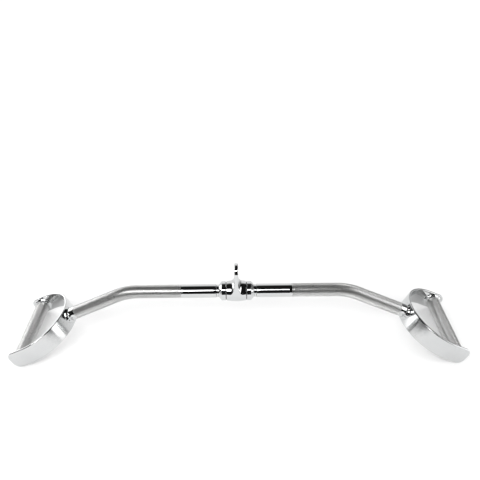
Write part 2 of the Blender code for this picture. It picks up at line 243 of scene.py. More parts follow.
def rounded(corners):
    """A path through corners given as (radius, height, rounding), with the roundings as arcs."""
    path = []
    for index, (radius, height, rounding) in enumerate(corners):
        here = Vector((radius, height))
        if not rounding:
            path.append(here)
            continue
        before = (Vector(corners[index - 1][:2]) - here).normalized()
        after = (Vector(corners[(index + 1) % len(corners)][:2]) - here).normalized()
        half = before.angle(after) / 2
        reach = rounding / math.tan(half)
        centre = here + (before + after).normalized() * rounding / math.sin(half)
        start = here + before * reach - centre
        swing = start.angle_signed(here + after * reach - centre)
        path.append(here + before * (reach + CORNER_LEAD))
        for step in range(CORNER_STEPS + 1):
            path.append(centre + Matrix.Rotation(-swing * step / CORNER_STEPS, 2) @ start)
        path.append(here + after * (reach + CORNER_LEAD))
    return path


def lathe(name, path, facets=TURNED_FACETS):
    """A closed profile of (radius, height) turned about Z."""
    points = []
    for radius, height in path:
        for step in range(facets):
            angle = 2 * math.pi * step / facets
            points.append((radius * math.cos(angle), radius * math.sin(angle), height))
    return make_mesh(name, points, ring_faces(len(path), facets, closed=True))


# Hanger

def barrel_radius(x):
    return BARREL_END_RADIUS + BARREL_BULGE * (1 - (x / HANGER_HALF) ** 2)


def fillet_foot():
    """Where the lug's fillet runs out on the barrel, as (x, lean of the barrel there)."""
    x = FILLET_X
    for _ in range(FOOT_ROUNDS):
        lean = math.atan(2 * BARREL_BULGE * x / HANGER_HALF ** 2)
        x = LUG_HALF_THICKNESS + LUG_FILLET * (1 - math.sin(lean))
    return x, lean


FOOT, FOOT_LEAN = fillet_foot()
FILLET_HEIGHT = barrel_radius(FOOT) + LUG_FILLET * math.cos(FOOT_LEAN)


def flare_share(spot):
    """How much of the lug's flare the skin has: all of it at the lug, and none well below the lug's foot."""
    below = max(-math.atan2(spot.y, abs(spot.x)), 0.0)
    share = max(1 - below / LUG_BLEND, 0.0)
    return share * share * (3 - 2 * share)


def lug_cut(height):
    """From the lug's middle over its edge and down its fillet, as (x, radius), for a lug of this height."""
    last = math.pi / 2 - FOOT_LEAN
    drop = (FILLET_HEIGHT - height + LUG_ROUNDING) / (LUG_FILLET + LUG_ROUNDING)
    first = min(math.asin(min(max(drop, 0.0), 1.0)), last)
    edge = FILLET_X - (LUG_FILLET + LUG_ROUNDING) * math.cos(first)
    path = [(edge * share, height) for share in LUG_TOP_SHARES]
    for step in range(LUG_EDGE_STEPS + 1):
        angle = math.pi / 2 + (first - math.pi / 2) * step / LUG_EDGE_STEPS
        path.append((edge + LUG_ROUNDING * math.cos(angle), height - LUG_ROUNDING * (1 - math.sin(angle))))
    brink = path[-1]
    side = max(height - LUG_ROUNDING - FILLET_HEIGHT, 0.0)
    for share in LUG_SIDE_SHARES:
        path.append((brink[0], FILLET_HEIGHT + side * share) if side else brink)
    for step in range(FILLET_STEPS + 1):
        angle = first + (last - first) * step / FILLET_STEPS
        path.append((FILLET_X - LUG_FILLET * math.cos(angle), FILLET_HEIGHT - LUG_FILLET * math.sin(angle)))
    return path


def hanger_cut(height, flare):
    """From the hanger's middle to its end, as (x, radius), with this share of the lug's flare."""
    path = []
    for x, radius in lug_cut(height):
        barrel = barrel_radius(x)
        path.append((x, barrel + max(radius - barrel, 0.0) * flare))
    end = HANGER_HALF - BARREL_EDGE
    return path + [(x, barrel_radius(x)) for x in np.linspace(FOOT, end, BARREL_STEPS + 1)[1:]]


def hanger_section(height, flare):
    """A whole cut along the bar through the hanger's skin and back through its bore."""
    right = hanger_cut(height, flare)
    left = [(-x, radius) for x, radius in reversed(right[1:])]
    brink = right[-1][1]
    end = []
    for step in range(1, CORNER_STEPS + 1):
        angle = math.pi / 2 * step / CORNER_STEPS
        x = HANGER_HALF - BARREL_EDGE * (1 - math.sin(angle))
        end.append((x, brink - BARREL_EDGE * (1 - math.cos(angle))))
    end += [(HANGER_HALF, end[-1][1] - BARREL_RIM), (HANGER_HALF, HANGER_BORE_RADIUS)]
    return left + right + end + [(-x, radius) for x, radius in reversed(end)]


def arc(centre, radius, start, end, steps):
    """Points on an arc from one angle to another."""
    return [Vector((math.cos(angle), math.sin(angle))) * radius + centre
            for angle in np.linspace(start, end, steps + 1)]


def flank(start, end):
    """The points between the two ends of a straight flank of the lug."""
    return [start.lerp(end, step / FLANK_STEPS) for step in range(1, FLANK_STEPS)]


def lug_outline():
    """The hanger seen along the bar, as (y, z): the barrel's circle and the eye's, joined by tangents."""
    low = barrel_radius(0.0)
    lean = math.asin((low - EYE_RADIUS) / EYE_HEIGHT)
    eye = arc(Vector((0, EYE_HEIGHT)), EYE_RADIUS, lean, math.pi - lean, EYE_FACETS)
    barrel = arc(Vector((0, 0)), low, math.pi - lean, 2 * math.pi + lean, BARREL_FACETS)
    return eye + flank(eye[-1], barrel[0]) + barrel + flank(barrel[-1], eye[0])


def build_hanger(finish):
    points = []
    for spot in lug_outline():
        section = hanger_section(spot.length, flare_share(spot))
        way = spot.normalized()
        points += [(x, way.x * radius, way.y * radius) for x, radius in section]
    size = len(section)
    mesh = make_mesh("hanger_skin", points, ring_faces(len(points) // size, size, closed=True))
    piece = add_piece("hanger_forging", mesh, Matrix.Translation(PIVOT), "hanger",
                      ["hanger"], [finish], even=False)
    cut_eye(piece)
    even_normals(piece)


def eye_pin():
    """A pin as thick as the eye, whose ends flare, so that it cuts rounded mouths."""
    half = []
    for angle in np.radians(np.linspace(0, EYE_MOUTH_TURN, EYE_MOUTH_STEPS + 1)):
        half.append((EYE_HOLE_RADIUS + EYE_HOLE_FLARE * (1 - math.cos(angle)),
                     LUG_HALF_THICKNESS - EYE_HOLE_FLARE * (1 - math.sin(angle))))
    end = LUG_HALF_THICKNESS + EYE_HOLE_FLARE * PIN_PROUD
    half += [(EYE_HOLE_RADIUS + EYE_HOLE_FLARE * PIN_RIM, end), (PIN_CORE, end)]
    return lathe("eye_pin", half + [(radius, -height) for radius, height in reversed(half)], EYE_HOLE_FACETS)


def cut_eye(piece):
    pin = bpy.data.objects.new("eye_pin", eye_pin())
    bpy.context.scene.collection.objects.link(pin)
    pin.matrix_world = Matrix.Translation(PIVOT + Vector((0, 0, EYE_HEIGHT))) @ along_x()
    step = piece.modifiers.new("eye", "BOOLEAN")
    step.object = pin
    step.solver = "EXACT"
    bpy.context.view_layer.update()
    cut = bpy.data.meshes.new_from_object(piece.evaluated_get(bpy.context.evaluated_depsgraph_get()))
    piece.modifiers.clear()
    piece.data = cut
    bpy.data.objects.remove(pin, do_unlink=True)


# End plugs

def build_plug(name, placing, finish):
    head = PLUG_START + PLUG_HEAD_LENGTH
    neck = head + NECK_LENGTH
    end = neck + SPIGOT_LENGTH
    groove = head + NECK_GROOVE_START
    corners = [(PLUG_BORE_RADIUS, end, 0), (SPIGOT_RADIUS, end, SPIGOT_ROUNDING), (SPIGOT_RADIUS, neck, 0),
               (NECK_RADIUS, neck, NECK_ROUNDING),
               (NECK_RADIUS, groove + NECK_GROOVE, NECK_GROOVE_ROUNDING),
               (NECK_RADIUS - NECK_GROOVE, groove + NECK_GROOVE / 2, 0),
               (NECK_RADIUS, groove, NECK_GROOVE_ROUNDING), (NECK_RADIUS, head, 0),
               (PLUG_RADIUS - PLUG_CHAMFER_DROP, head, PLUG_SHOULDER_ROUNDING),
               (PLUG_RADIUS, head - PLUG_CHAMFER_LENGTH, PLUG_CHAMFER_ROUNDING),
               (PLUG_RADIUS, PLUG_START, PLUG_FACE_ROUNDING), (PLUG_BORE_RADIUS, PLUG_START, 0)]
    mesh = lathe(f"end_plug_{name}_turning", rounded(corners))
    add_piece(f"end_plug_{name}_turning", mesh, placing @ along_x(), "bar",
              [f"end_plug_{name}"], [finish])


# Knurled tubes

def saddle_depth(side):
    """How far the strap's outer face falls away at this distance from the bow's middle plane."""
    return STRAP_OUTER_RADIUS - math.sqrt(STRAP_OUTER_RADIUS ** 2 - side ** 2)


def arm_spot(run):
    """Where a distance along the arm's centreline lies, as (x, z, lean of the tube below X)."""
    if run <= BEND_START:
        return run, 0.0, 0.0
    turned = min((run - BEND_START) / BEND_RADIUS, BEND_ANGLE)
    beyond = max(run - BEND_START - BEND_ARC, 0.0)
    x = BEND_START + BEND_RADIUS * math.sin(turned) + beyond * math.cos(turned)
    z = BEND_RADIUS * (math.cos(turned) - 1) - beyond * math.sin(turned)
    return x, z, turned


def arm_point(run, angle, radius):
    """A point of the arm's skin. The tube's end follows the strap that it is welded to."""
    side = radius * math.cos(angle)
    run += saddle_depth(side) * max(0.0, 1 - (ARM_END - run) / SADDLE_FADE)
    x, z, lean = arm_spot(run)
    out = radius * math.sin(angle)
    return x + out * math.sin(lean), side, z + out * math.cos(lean)


def grip_point(run, angle, radius):
    return radius * math.cos(angle), run, radius * math.sin(angle)


def ring_angles():
    """Round the tube, for each pair of diamonds: two corners of a flat top, and the crossing beside it."""
    half = math.pi / KNURL_STARTS
    angles = []
    for start in range(KNURL_STARTS):
        middle = 2 * start * half
        angles += [middle - KNURL_LAND * half, middle + KNURL_LAND * half, middle + half]
    return angles


class KnurledTube:
    """Gathers the skin of a tube ring by ring, with a stretch of diamond knurling."""

    def __init__(self, spot):
        self.spot = spot
        self.points = []
        self.outward = []
        self.grooves = []
        self.faces = []
        self.lands = []
        self.last = None
        self.knurl_from = 0
        self.knurl_to = 0

    def vertex(self, run, angle, depth=0.0, radius=TUBE_RADIUS):
        self.points.append(self.spot(run, angle, radius - depth))
        self.outward.append(np.subtract(self.points[-1], self.spot(run, angle, 0.0)))
        self.grooves.append(depth / KNURL_DEPTH)
        return len(self.points) - 1

    def join(self, ring):
        """Closes the band between the last ring and this one."""
        if self.last:
            size = len(ring)
            for column in range(size):
                after = (column + 1) % size
                self.faces.append((self.last[column], self.last[after], ring[after], ring[column]))
        self.last = ring

    def smooth(self, runs):
        for run in runs:
            self.join([self.vertex(run, angle) for angle in ring_angles()])

    def rounded_end(self, start):
        """The rounded edge of the tube's first end, from its flat face on."""
        for angle in np.radians(np.linspace(0, 90, TUBE_END_STEPS + 1)):
            run = start + TUBE_ROUNDING * (1 - math.sin(angle))
            radius = TUBE_RADIUS - TUBE_ROUNDING * (1 - math.cos(angle))
            self.join([self.vertex(run, turn, radius=radius) for turn in ring_angles()])
        self.faces.append(tuple(range(len(self.last))))

    def knurl(self, start, end):
        """Diamonds with flat tops, which lie where row plus column, both in half diamonds, is even."""
        rows = 2 * round((end - start) / KNURL_PERIOD)
        tops, crossings = self.knurl_vertices(start, (end - start) / rows, rows)
        self.knurl_from = len(self.faces)
        for row, column in tops:
            self.diamond(row, column, tops[row, column], crossings)
        self.knurl_to = len(self.faces)
        return self.rim(0, tops, crossings), self.rim(rows, tops, crossings)

    def knurl_vertices(self, start, row_step, rows):
        """The corners of the diamonds' tops and the grooves' crossings between them, by row and column."""
        column_step = math.pi / KNURL_STARTS
        tops = {}
        crossings = {}
        for row in range(rows + 1):
            run = start + row * row_step
            for column in range(2 * KNURL_STARTS):
                angle = column * column_step
                if (row + column) % 2:
                    crossings[row, column] = self.vertex(run, angle, KNURL_DEPTH)
                    continue
                top = {"left": self.vertex(run, angle - KNURL_LAND * column_step),
                       "right": self.vertex(run, angle + KNURL_LAND * column_step)}
                if row > 0:
                    top["back"] = self.vertex(run - KNURL_LAND * row_step, angle)
                if row < rows:
                    top["front"] = self.vertex(run + KNURL_LAND * row_step, angle)
                tops[row, column] = top
        return tops, crossings

    def diamond(self, row, column, top, crossings):
        """A diamond's flat top, marked as a land, and the slopes down to the crossings round it."""
        self.lands.append(len(self.faces))
        self.faces.append(tuple(top[side] for side in ("left", "back", "right", "front") if side in top))
        for side, way in (("left", -1), ("right", 1)):
            beside = crossings[row, (column + way) % (2 * KNURL_STARTS)]
            for end, along in (("back", -1), ("front", 1)):
                if end in top:
                    beyond = crossings[row + along, column]
                    self.faces.append((top[side], beside, beyond, top[end]))

    def rim(self, row, tops, crossings):
        """The vertices of the knurling's first or last row, in the order of ring_angles."""
        ring = []
        odd = row % 2
        for start in range(KNURL_STARTS):
            top = tops[row, 2 * start + odd]
            ring += [top["left"], top["right"], crossings[row, (2 * start + 1 + odd) % (2 * KNURL_STARTS)]]
        return ring

    def knurled_faces(self):
        """1 for every face of the knurling and 0 for the rest."""
        marks = np.zeros(len(self.faces), np.int32)
        marks[self.knurl_from:self.knurl_to] = 1
        return marks

    def set_normals(self, mesh):
        """Shades the diamonds' tops as the cylinder they lie on and their slopes as flats."""
        sizes = np.empty(len(mesh.polygons), np.int32)
        mesh.polygons.foreach_get("loop_total", sizes)
        corners = np.empty(len(mesh.loops), np.int32)
        mesh.loops.foreach_get("vertex_index", corners)
        flat = np.empty(len(mesh.polygons) * 3)
        mesh.polygons.foreach_get("normal", flat)
        normals = np.repeat(flat.reshape(-1, 3), sizes, axis=0)
        round_faces = np.zeros(len(mesh.polygons), bool)
        round_faces[self.lands] = True
        on_cylinder = np.repeat(round_faces, sizes)
        outward = np.array(self.outward)
        outward /= np.linalg.norm(outward, axis=1)[:, None]
        normals[on_cylinder] = outward[corners[on_cylinder]]
        left_to_blender = np.repeat(self.knurled_faces() == 0, sizes)
        normals[left_to_blender] = 0.0
        mesh.normals_split_custom_set(normals)

    def mesh(self, name):
        """The gathered skin. Its knurling has the second material, and groove depth is an attribute."""
        mesh = bpy.data.meshes.new(name)
        mesh.from_pydata(self.points, [], self.faces)
        mesh.polygons.foreach_set("material_index", self.knurled_faces())
        groove = mesh.attributes.new("groove", "FLOAT", "POINT")
        groove.data.foreach_set("value", np.clip(np.array(self.grooves, np.float32), 0, 1))
        shape = bmesh.new()
        shape.from_mesh(mesh)
        bmesh.ops.recalc_face_normals(shape, faces=shape.faces)
        for face in shape.faces:
            face.smooth = face.material_index == 0
        shape.to_mesh(mesh)
        shape.free()
        self.set_normals(mesh)
        return mesh


def knurled_tube(name, spot, before, start, end, after):
    """A tube that is smooth along the runs before and after, and knurled from start to end."""
    tube = KnurledTube(spot)
    tube.rounded_end(before[0])
    tube.smooth(before[1:])
    first, last = tube.knurl(start, end)
    tube.join(first)
    tube.last = last
    tube.smooth(after)
    tube.faces.append(tuple(tube.last))
    return tube.mesh(name)


def arm_mesh():
    knurl_end = BEND_START + BEND_ARC + KNURL_TAIL
    smooth_start = ARM_START + 2 * TUBE_ROUNDING
    before = [ARM_START] + list(np.linspace(smooth_start, KNURL_START - KNURL_RUNOUT, SMOOTH_RINGS[0]))
    after = list(np.linspace(knurl_end + KNURL_RUNOUT, ARM_END, SMOOTH_RINGS[1]))
    return knurled_tube("arm_tube", arm_point, before, KNURL_START, knurl_end, after)


def grip_mesh():
    edge = GRIP_HALF - GRIP_SMOOTH
    before = [-GRIP_HALF, -edge - KNURL_RUNOUT]
    return knurled_tube("grip_tube", grip_point, before, -edge, edge, [edge + KNURL_RUNOUT, GRIP_HALF])


# Stirrups

def strap_spot(run):
    """Where a distance along the strap's centreline lies in the bow's plane, and the outer face's normal."""
    along = abs(run)
    turned = along / CROWN_RADIUS
    if along <= CROWN_ARC:
        reach = CROWN_RADIUS * (1 - math.cos(turned))
        across = CROWN_RADIUS * math.sin(turned)
    else:
        turned = min((along - CROWN_ARC) / SHOULDER_RADIUS + CROWN_ANGLE, math.pi / 2)
        leg = max(along - CROWN_ARC - SHOULDER_ARC, 0.0)
        reach = SHOULDER_CENTRE[0] - SHOULDER_RADIUS * math.cos(turned) + leg
        across = SHOULDER_CENTRE[1] + SHOULDER_RADIUS * math.sin(turned)
    side = math.copysign(1.0, run)
    return Vector((reach, side * across, 0)), Vector((-math.cos(turned), side * math.sin(turned), 0))


def strap_runs():
    """Distances along the strap from one end to the other, close together round the corners."""
    leg_start = CROWN_ARC + SHOULDER_ARC
    turns = int(CROWN_ANGLE / BOW_STEP) + 1
    runs = list(np.linspace(0, CROWN_ARC, turns))
    turns = int((math.pi / 2 - CROWN_ANGLE) / BOW_STEP) + 1
    runs += list(np.linspace(CROWN_ARC, leg_start, turns))[1:]
    runs += list(np.linspace(leg_start, STRAP_END - STRAP_CORNER, LEG_SECTIONS))[1:-1]
    for angle in np.linspace(0, math.pi / 2, STRAP_CORNER_SECTIONS):
        runs.append(STRAP_END - STRAP_CORNER * (1 - math.sin(angle)))
    return [-run for run in reversed(runs[1:])] + runs


def strap_edge(run):
    """The strap's half width at this run, and its outline's normal as (along, across)."""
    into = max(STRAP_CORNER - (STRAP_END - abs(run)), 0.0)
    rise = math.sqrt(max(STRAP_CORNER ** 2 - into ** 2, 0.0))
    half = STRAP_WIDTH / 2 - STRAP_CORNER + rise
    return half, math.copysign(into / STRAP_CORNER, run), rise / STRAP_CORNER


def strap_outline():
    """Round the flat strap as (run, width, normal along, normal across): up one side and down the other."""
    there = []
    back = []
    for run in strap_runs():
        half, along, across = strap_edge(run)
        there.append((run, -half, along, -across))
        back.append((run, half, along, across))
    return there + back[::-1]


def strap_rounds():
    """From the strap's inner to its outer face, as (turn round the rounded edge, level of its centre)."""
    flat = STRAP_HALF - STRAP_EDGE
    inner = [(angle, -flat) for angle in np.linspace(-math.pi / 2, 0, STRAP_EDGE_STEPS + 1)]
    return inner + [(angle, flat) for angle in np.linspace(0, math.pi / 2, STRAP_EDGE_STEPS + 1)]


def strap_mesh():
    outline = strap_outline()
    size = len(outline)
    rounds = strap_rounds()
    points = []
    for angle, level in rounds:
        inset = STRAP_EDGE * (1 - math.cos(angle))
        height = level + STRAP_EDGE * math.sin(angle)
        for run, width, along, across in outline:
            spot, out = strap_spot(run - along * inset)
            points.append(spot + out * height + Vector((0, 0, width - across * inset)))
    faces = ring_faces(len(rounds), size)
    for base in (0, (len(rounds) - 1) * size):
        for column in range(size // 2 - 1):
            low = base + column
            high = base + size - 1 - column
            faces.append((low, low + 1, high - 1, high))
    return make_mesh("strap", points, faces)


# Welds

def ripple_height(turn, out, up, seed):
    """How far the bead stands out of a plain fillet at a place round the tube and across the bead's face."""
    phase = WELD_RIPPLES * turn + RIPPLE_LAP * up + RIPPLE_DRIFT * math.sin(2 * turn + seed)
    swell = 1 + RIPPLE_SWELL * math.sin(3 * turn + 2 * seed)
    fade = min(1.0, RIPPLE_FADE * out, RIPPLE_FADE * up + RIPPLE_LEFT)
    return WELD_RIPPLE * swell * (abs(math.cos(phase / 2)) - RIPPLE_LEVEL) * fade


def bead_ring(turn, stretch, seed):
    """A cut through the bead as (distance from the tube's axis, height over the plate)."""
    slow, fast = WELD_WANDER
    wander = slow * math.sin(3 * turn + seed) + fast * math.sin(5 * turn + 2 * seed)
    leg = WELD_LEG * (1 + wander + stretch * math.cos(turn) ** 2)
    ring = [(TUBE_RADIUS + leg, -WELD_ROOT)]
    for step in range(BEAD_STEPS + 1):
        angle = math.pi / 2 * step / BEAD_STEPS
        out = math.cos(angle)
        up = math.sin(angle)
        reach = leg * (WELD_FLAT + (1 - WELD_FLAT) * abs(out - up)) + ripple_height(turn, out, up, seed)
        ring.append((TUBE_RADIUS + reach * out, reach * up * WELD_LEG / leg))
    inner = TUBE_RADIUS - WELD_ROOT
    return ring + [(inner, ring[-1][1]), (inner, -WELD_ROOT)]


def bead_mesh(name, stretch, seed, saddle):
    """A fillet bead round a tube, on a flat plate or on the strap's bend. Its ripples overlap like coins."""
    around = WELD_RIPPLES * RIPPLE_FACETS
    points = []
    for column in range(around):
        turn = 2 * math.pi * column / around
        ring = bead_ring(turn, stretch, seed)
        for out, up in ring:
            side = out * math.cos(turn)
            drop = saddle_depth(side) if saddle else 0.0
            points.append((side, out * math.sin(turn), up - drop))
    return make_mesh(name, points, ring_faces(around, len(ring), closed=True))


# Materials

def new_material(name):
    made = bpy.data.materials.new(name)
    made.use_nodes = True
    nodes = made.node_tree.nodes
    return made, nodes, made.node_tree.links, nodes["Principled BSDF"]


def noise(nodes, links, scale, detail=3.0):
    """Object-space noise, whose scale is in cells per metre."""
    place = nodes.new("ShaderNodeTexCoord")
    texture = nodes.new("ShaderNodeTexNoise")
    texture.inputs["Scale"].default_value = scale
    texture.inputs["Detail"].default_value = detail
    links.new(place.outputs["Object"], texture.inputs["Vector"])
    return texture.outputs["Fac"]


def spread(nodes, links, source, low, high, from_low=0.3, from_high=0.7):
    """Maps a range of a value, by default a noise's middle range, to another range."""
    ramp = nodes.new("ShaderNodeMapRange")
    ramp.inputs["From Min"].default_value = from_low
    ramp.inputs["From Max"].default_value = from_high
    ramp.inputs["To Min"].default_value = low
    ramp.inputs["To Max"].default_value = high
    links.new(source, ramp.inputs["Value"])
    return ramp.outputs["Result"]


def tint(nodes, links, source, dark, light):
    """Blends two colours by a value from 0 to 1."""
    mix = nodes.new("ShaderNodeMix")
    mix.data_type = "RGBA"
    mix.inputs["A"].default_value = (*dark, 1.0)
    mix.inputs["B"].default_value = (*light, 1.0)
    links.new(source, mix.inputs["Factor"])
    return mix.outputs["Result"]


def blend(nodes, links, source, first, second):
    """Blends two values, each a number or a socket, by a value from 0 to 1."""
    mix = nodes.new("ShaderNodeMix")
    links.new(source, mix.inputs["Factor"])
    for side, value in (("A", first), ("B", second)):
        if isinstance(value, float):
            mix.inputs[side].default_value = value
        else:
            links.new(value, mix.inputs[side])
    return mix.outputs["Result"]


def math_node(nodes, links, operation, first, second=None):
    step = nodes.new("ShaderNodeMath")
    step.operation = operation
    links.new(first, step.inputs[0])
    if second is not None:
        links.new(second, step.inputs[1])
    return step.outputs[0]


def bump(nodes, links, shader, source, distance):
    step = nodes.new("ShaderNodeBump")
    step.inputs["Distance"].default_value = distance
    step.inputs["Strength"].default_value = 1.0
    links.new(source, step.inputs["Height"])
    links.new(step.outputs["Normal"], shader.inputs["Normal"])


def chrome(name, dark, light, smooth, rough, ripple, ripple_scale):
    """Chrome plate: a metal whose colour and roughness wander a little, over a faintly uneven surface."""
    made, nodes, links, shader = new_material(name)
    shader.inputs["Metallic"].default_value = 1.0
    cloudy = spread(nodes, links, noise(nodes, links, scale=25.0), 0.0, 1.0)
    links.new(tint(nodes, links, cloudy, dark, light), shader.inputs["Base Color"])
    smears = noise(nodes, links, scale=150.0, detail=5.0)
    links.new(spread(nodes, links, smears, smooth, rough), shader.inputs["Roughness"])
    bump(nodes, links, shader, noise(nodes, links, ripple_scale, detail=2.0), ripple)
    return made


def knurled_chrome(name, flat, groove, smooth, rough, dull, grime_and_shade):
    """Chrome over knurling: bright flats, and grooves painted darker and less metallic towards their bottoms, as
    painted shade with a little grime, and duller for it.
    """
    made, nodes, links, shader = new_material(name)
    depth = nodes.new("ShaderNodeAttribute")
    depth.attribute_name = "groove"
    deep = spread(nodes, links, depth.outputs["Fac"], 0.0, 1.0, from_low=0.0, from_high=0.6)
    # The grooves' depth paints the plate darker and less metallic: painted shade in the grooves, with a little
    # grime.
    metallic = spread(nodes, links, deep, 1.0, 1.0 - grime_and_shade, from_low=0.0, from_high=1.0)
    links.new(metallic, shader.inputs["Metallic"])
    links.new(tint(nodes, links, deep, flat, groove), shader.inputs["Base Color"])
    smears = spread(nodes, links, noise(nodes, links, scale=180.0, detail=4.0), smooth, rough)
    links.new(blend(nodes, links, deep, smears, dull), shader.inputs["Roughness"])
    return made


def metal(name, dark, light, smooth, rough, scale):
    """A bare machined metal."""
    made, nodes, links, shader = new_material(name)
    shader.inputs["Metallic"].default_value = 1.0
    grain = noise(nodes, links, scale, detail=4.0)
    cloudy = spread(nodes, links, grain, 0.0, 1.0)
    links.new(tint(nodes, links, cloudy, dark, light), shader.inputs["Base Color"])
    links.new(spread(nodes, links, grain, smooth, rough), shader.inputs["Roughness"])
    return made


def nylon(name, dark, light, smooth, rough, ripple):
    made, nodes, links, shader = new_material(name)
    grain = noise(nodes, links, scale=900.0, detail=4.0)
    links.new(tint(nodes, links, grain, dark, light), shader.inputs["Base Color"])
    links.new(spread(nodes, links, grain, smooth, rough), shader.inputs["Roughness"])
    bump(nodes, links, shader, grain, ripple)
    return made


# Studio

KEY_RADIANCE = 6.0
KEY_ELEVATION = 45.0
KEY_DISTANCE = 1.4
# The key light's outline, as places along X and the elevations of its lower and upper edge seen from the bar
KEY_OUTLINE = ((-1.05, 32, 55), (-0.43, 32, 55), (-0.15, 38.5, 53), (0.14, 43, 49.2), (0.34, 43.5, 48.7))
SIDE_RADIANCE = 2.1
SIDE_DISTANCE = 0.90
RIGHT_PANEL = (-0.50, 0.0, 1.00)    # nearest and farthest Y, and height
LEFT_PANEL = (0.05, 0.75, 0.6)
AMBIENT = 0.89
DARK = 0.012                        # the world in reflections, away from the backdrop
BACKDROP_FADE = (math.radians(38), math.radians(62))    # elevations behind the bar
BACKDROP_RIGHT = 0.20
BACKDROP_DIMMING = (0.22, 0.70)     # X of the directions over which the backdrop dims to its right end
FLOOR_PAINT = 0.87
FLOOR_ROUGHNESS = 0.9
FLOOR_FRONT = -0.60
FLOOR_REAR = 30
FLOOR_HALF_WIDTH = 20
FLOOR_LIFT = 0.09                   # glow that only the camera sees, at the bar
FAR_LIFT = 0.30                     # and far from it
FLOOR_FADE = (0.6, 1.3)             # distances from the bar's middle between the two


def glow_node(nodes):
    glow = nodes.new("ShaderNodeEmission")
    glow.inputs["Color"].default_value = (*WHITE, 1.0)
    return glow


def glow_material(name, radiance):
    made, nodes, links, _ = new_material(name)
    glow = glow_node(nodes)
    glow.inputs["Strength"].default_value = radiance
    links.new(glow.outputs["Emission"], nodes["Material Output"].inputs["Surface"])
    return made


def stage_sheet(name, corners, faces, finish):
    """A sheet of the studio, which is no piece of the bar."""
    mesh = bpy.data.meshes.new(name)
    mesh.from_pydata(corners, [], faces)
    mesh.materials.append(finish)
    made = bpy.data.objects.new(name, mesh)
    bpy.context.scene.collection.objects.link(made)
    return made


def panel(name, corners, faces, radiance):
    """A soft box: a bright sheet that lights the bar and shows in its chrome, out of the picture itself."""
    made = stage_sheet(name, corners, faces, glow_material(f"{name}_glow", radiance))
    made.visible_camera = False


def key_spot(x, elevation):
    """A point of the key light's plane, which faces the bar from in front and above."""
    tilt = math.radians(KEY_ELEVATION)
    aside = KEY_DISTANCE * math.tan(math.radians(elevation - KEY_ELEVATION))
    return (x, PIVOT.y - KEY_DISTANCE * math.cos(tilt) + aside * math.sin(tilt),
            PIVOT.z + KEY_DISTANCE * math.sin(tilt) + aside * math.cos(tilt))


def side_corners(x, span):
    near, far, height = span
    return [(x, near, 0), (x, far, 0), (x, far, height), (x, near, height)]


def build_panels():
    corners = [key_spot(x, low) for x, low, high in KEY_OUTLINE]
    corners += [key_spot(x, high) for x, low, high in KEY_OUTLINE]
    count = len(KEY_OUTLINE)
    faces = [(i, i + 1, i + 1 + count, i + count) for i in range(count - 1)]
    panel("key_light", corners, faces, KEY_RADIANCE)
    panel("right_light", side_corners(SIDE_DISTANCE, RIGHT_PANEL), [(0, 1, 2, 3)], SIDE_RADIANCE)
    panel("left_light", side_corners(-SIDE_DISTANCE, LEFT_PANEL), [(0, 1, 2, 3)], SIDE_RADIANCE)


def backdrop(nodes, links):
    """A wall of light behind the bar by direction, dimmer on its right, with darkness elsewhere."""
    place = nodes.new("ShaderNodeTexCoord")
    parts = nodes.new("ShaderNodeSeparateXYZ")
    links.new(place.outputs["Generated"], parts.inputs["Vector"])
    elevation = math_node(nodes, links, "ARCTAN2", parts.outputs["Z"], parts.outputs["Y"])
    elevation = math_node(nodes, links, "ABSOLUTE", elevation)
    wall = spread(nodes, links, elevation, 1.0, DARK, *BACKDROP_FADE)
    dimming = spread(nodes, links, parts.outputs["X"], 1.0, BACKDROP_RIGHT, *BACKDROP_DIMMING)
    return math_node(nodes, links, "MULTIPLY", wall, dimming)


def build_world():
    """White to the camera, the backdrop in reflections, and plain ambient light to everything else."""
    world = bpy.data.worlds.new("studio")
    bpy.context.scene.world = world
    world.use_nodes = True
    nodes = world.node_tree.nodes
    links = world.node_tree.links
    path = nodes.new("ShaderNodeLightPath")
    light = blend(nodes, links, path.outputs["Is Glossy Ray"], AMBIENT, backdrop(nodes, links))
    light = blend(nodes, links, path.outputs["Is Camera Ray"], light, 1.0)
    nodes["Background"].inputs["Color"].default_value = (*WHITE, 1.0)
    links.new(light, nodes["Background"].inputs["Strength"])


def floor_material():
    """Pale paint, which to the camera alone also glows, so that it pales into the white background."""
    made, nodes, links, shader = new_material("pale_floor")
    shader.inputs["Base Color"].default_value = (FLOOR_PAINT, FLOOR_PAINT, FLOOR_PAINT, 1.0)
    shader.inputs["Roughness"].default_value = FLOOR_ROUGHNESS
    shader.inputs["Specular IOR Level"].default_value = 0.0
    place = nodes.new("ShaderNodeTexCoord")
    distance = nodes.new("ShaderNodeVectorMath")
    distance.operation = "LENGTH"
    links.new(place.outputs["Object"], distance.inputs[0])
    lift = spread(nodes, links, distance.outputs["Value"], FLOOR_LIFT, FAR_LIFT, *FLOOR_FADE)
    path = nodes.new("ShaderNodeLightPath")
    seen = math_node(nodes, links, "MULTIPLY", path.outputs["Is Camera Ray"], lift)
    glow = glow_node(nodes)
    links.new(seen, glow.inputs["Strength"])
    both = nodes.new("ShaderNodeAddShader")
    links.new(shader.outputs["BSDF"], both.inputs[0])
    links.new(glow.outputs["Emission"], both.inputs[1])
    links.new(both.outputs["Shader"], nodes["Material Output"].inputs["Surface"])
    return made


def build_floor():
    corners = [(-FLOOR_HALF_WIDTH, FLOOR_FRONT, 0), (FLOOR_HALF_WIDTH, FLOOR_FRONT, 0),
               (FLOOR_HALF_WIDTH, FLOOR_REAR, 0), (-FLOOR_HALF_WIDTH, FLOOR_REAR, 0)]
    stage_sheet("floor", corners, [(0, 1, 2, 3)], floor_material())


# Camera at the photograph's place, from its fit to the bar's edges in the 480-pixel frame

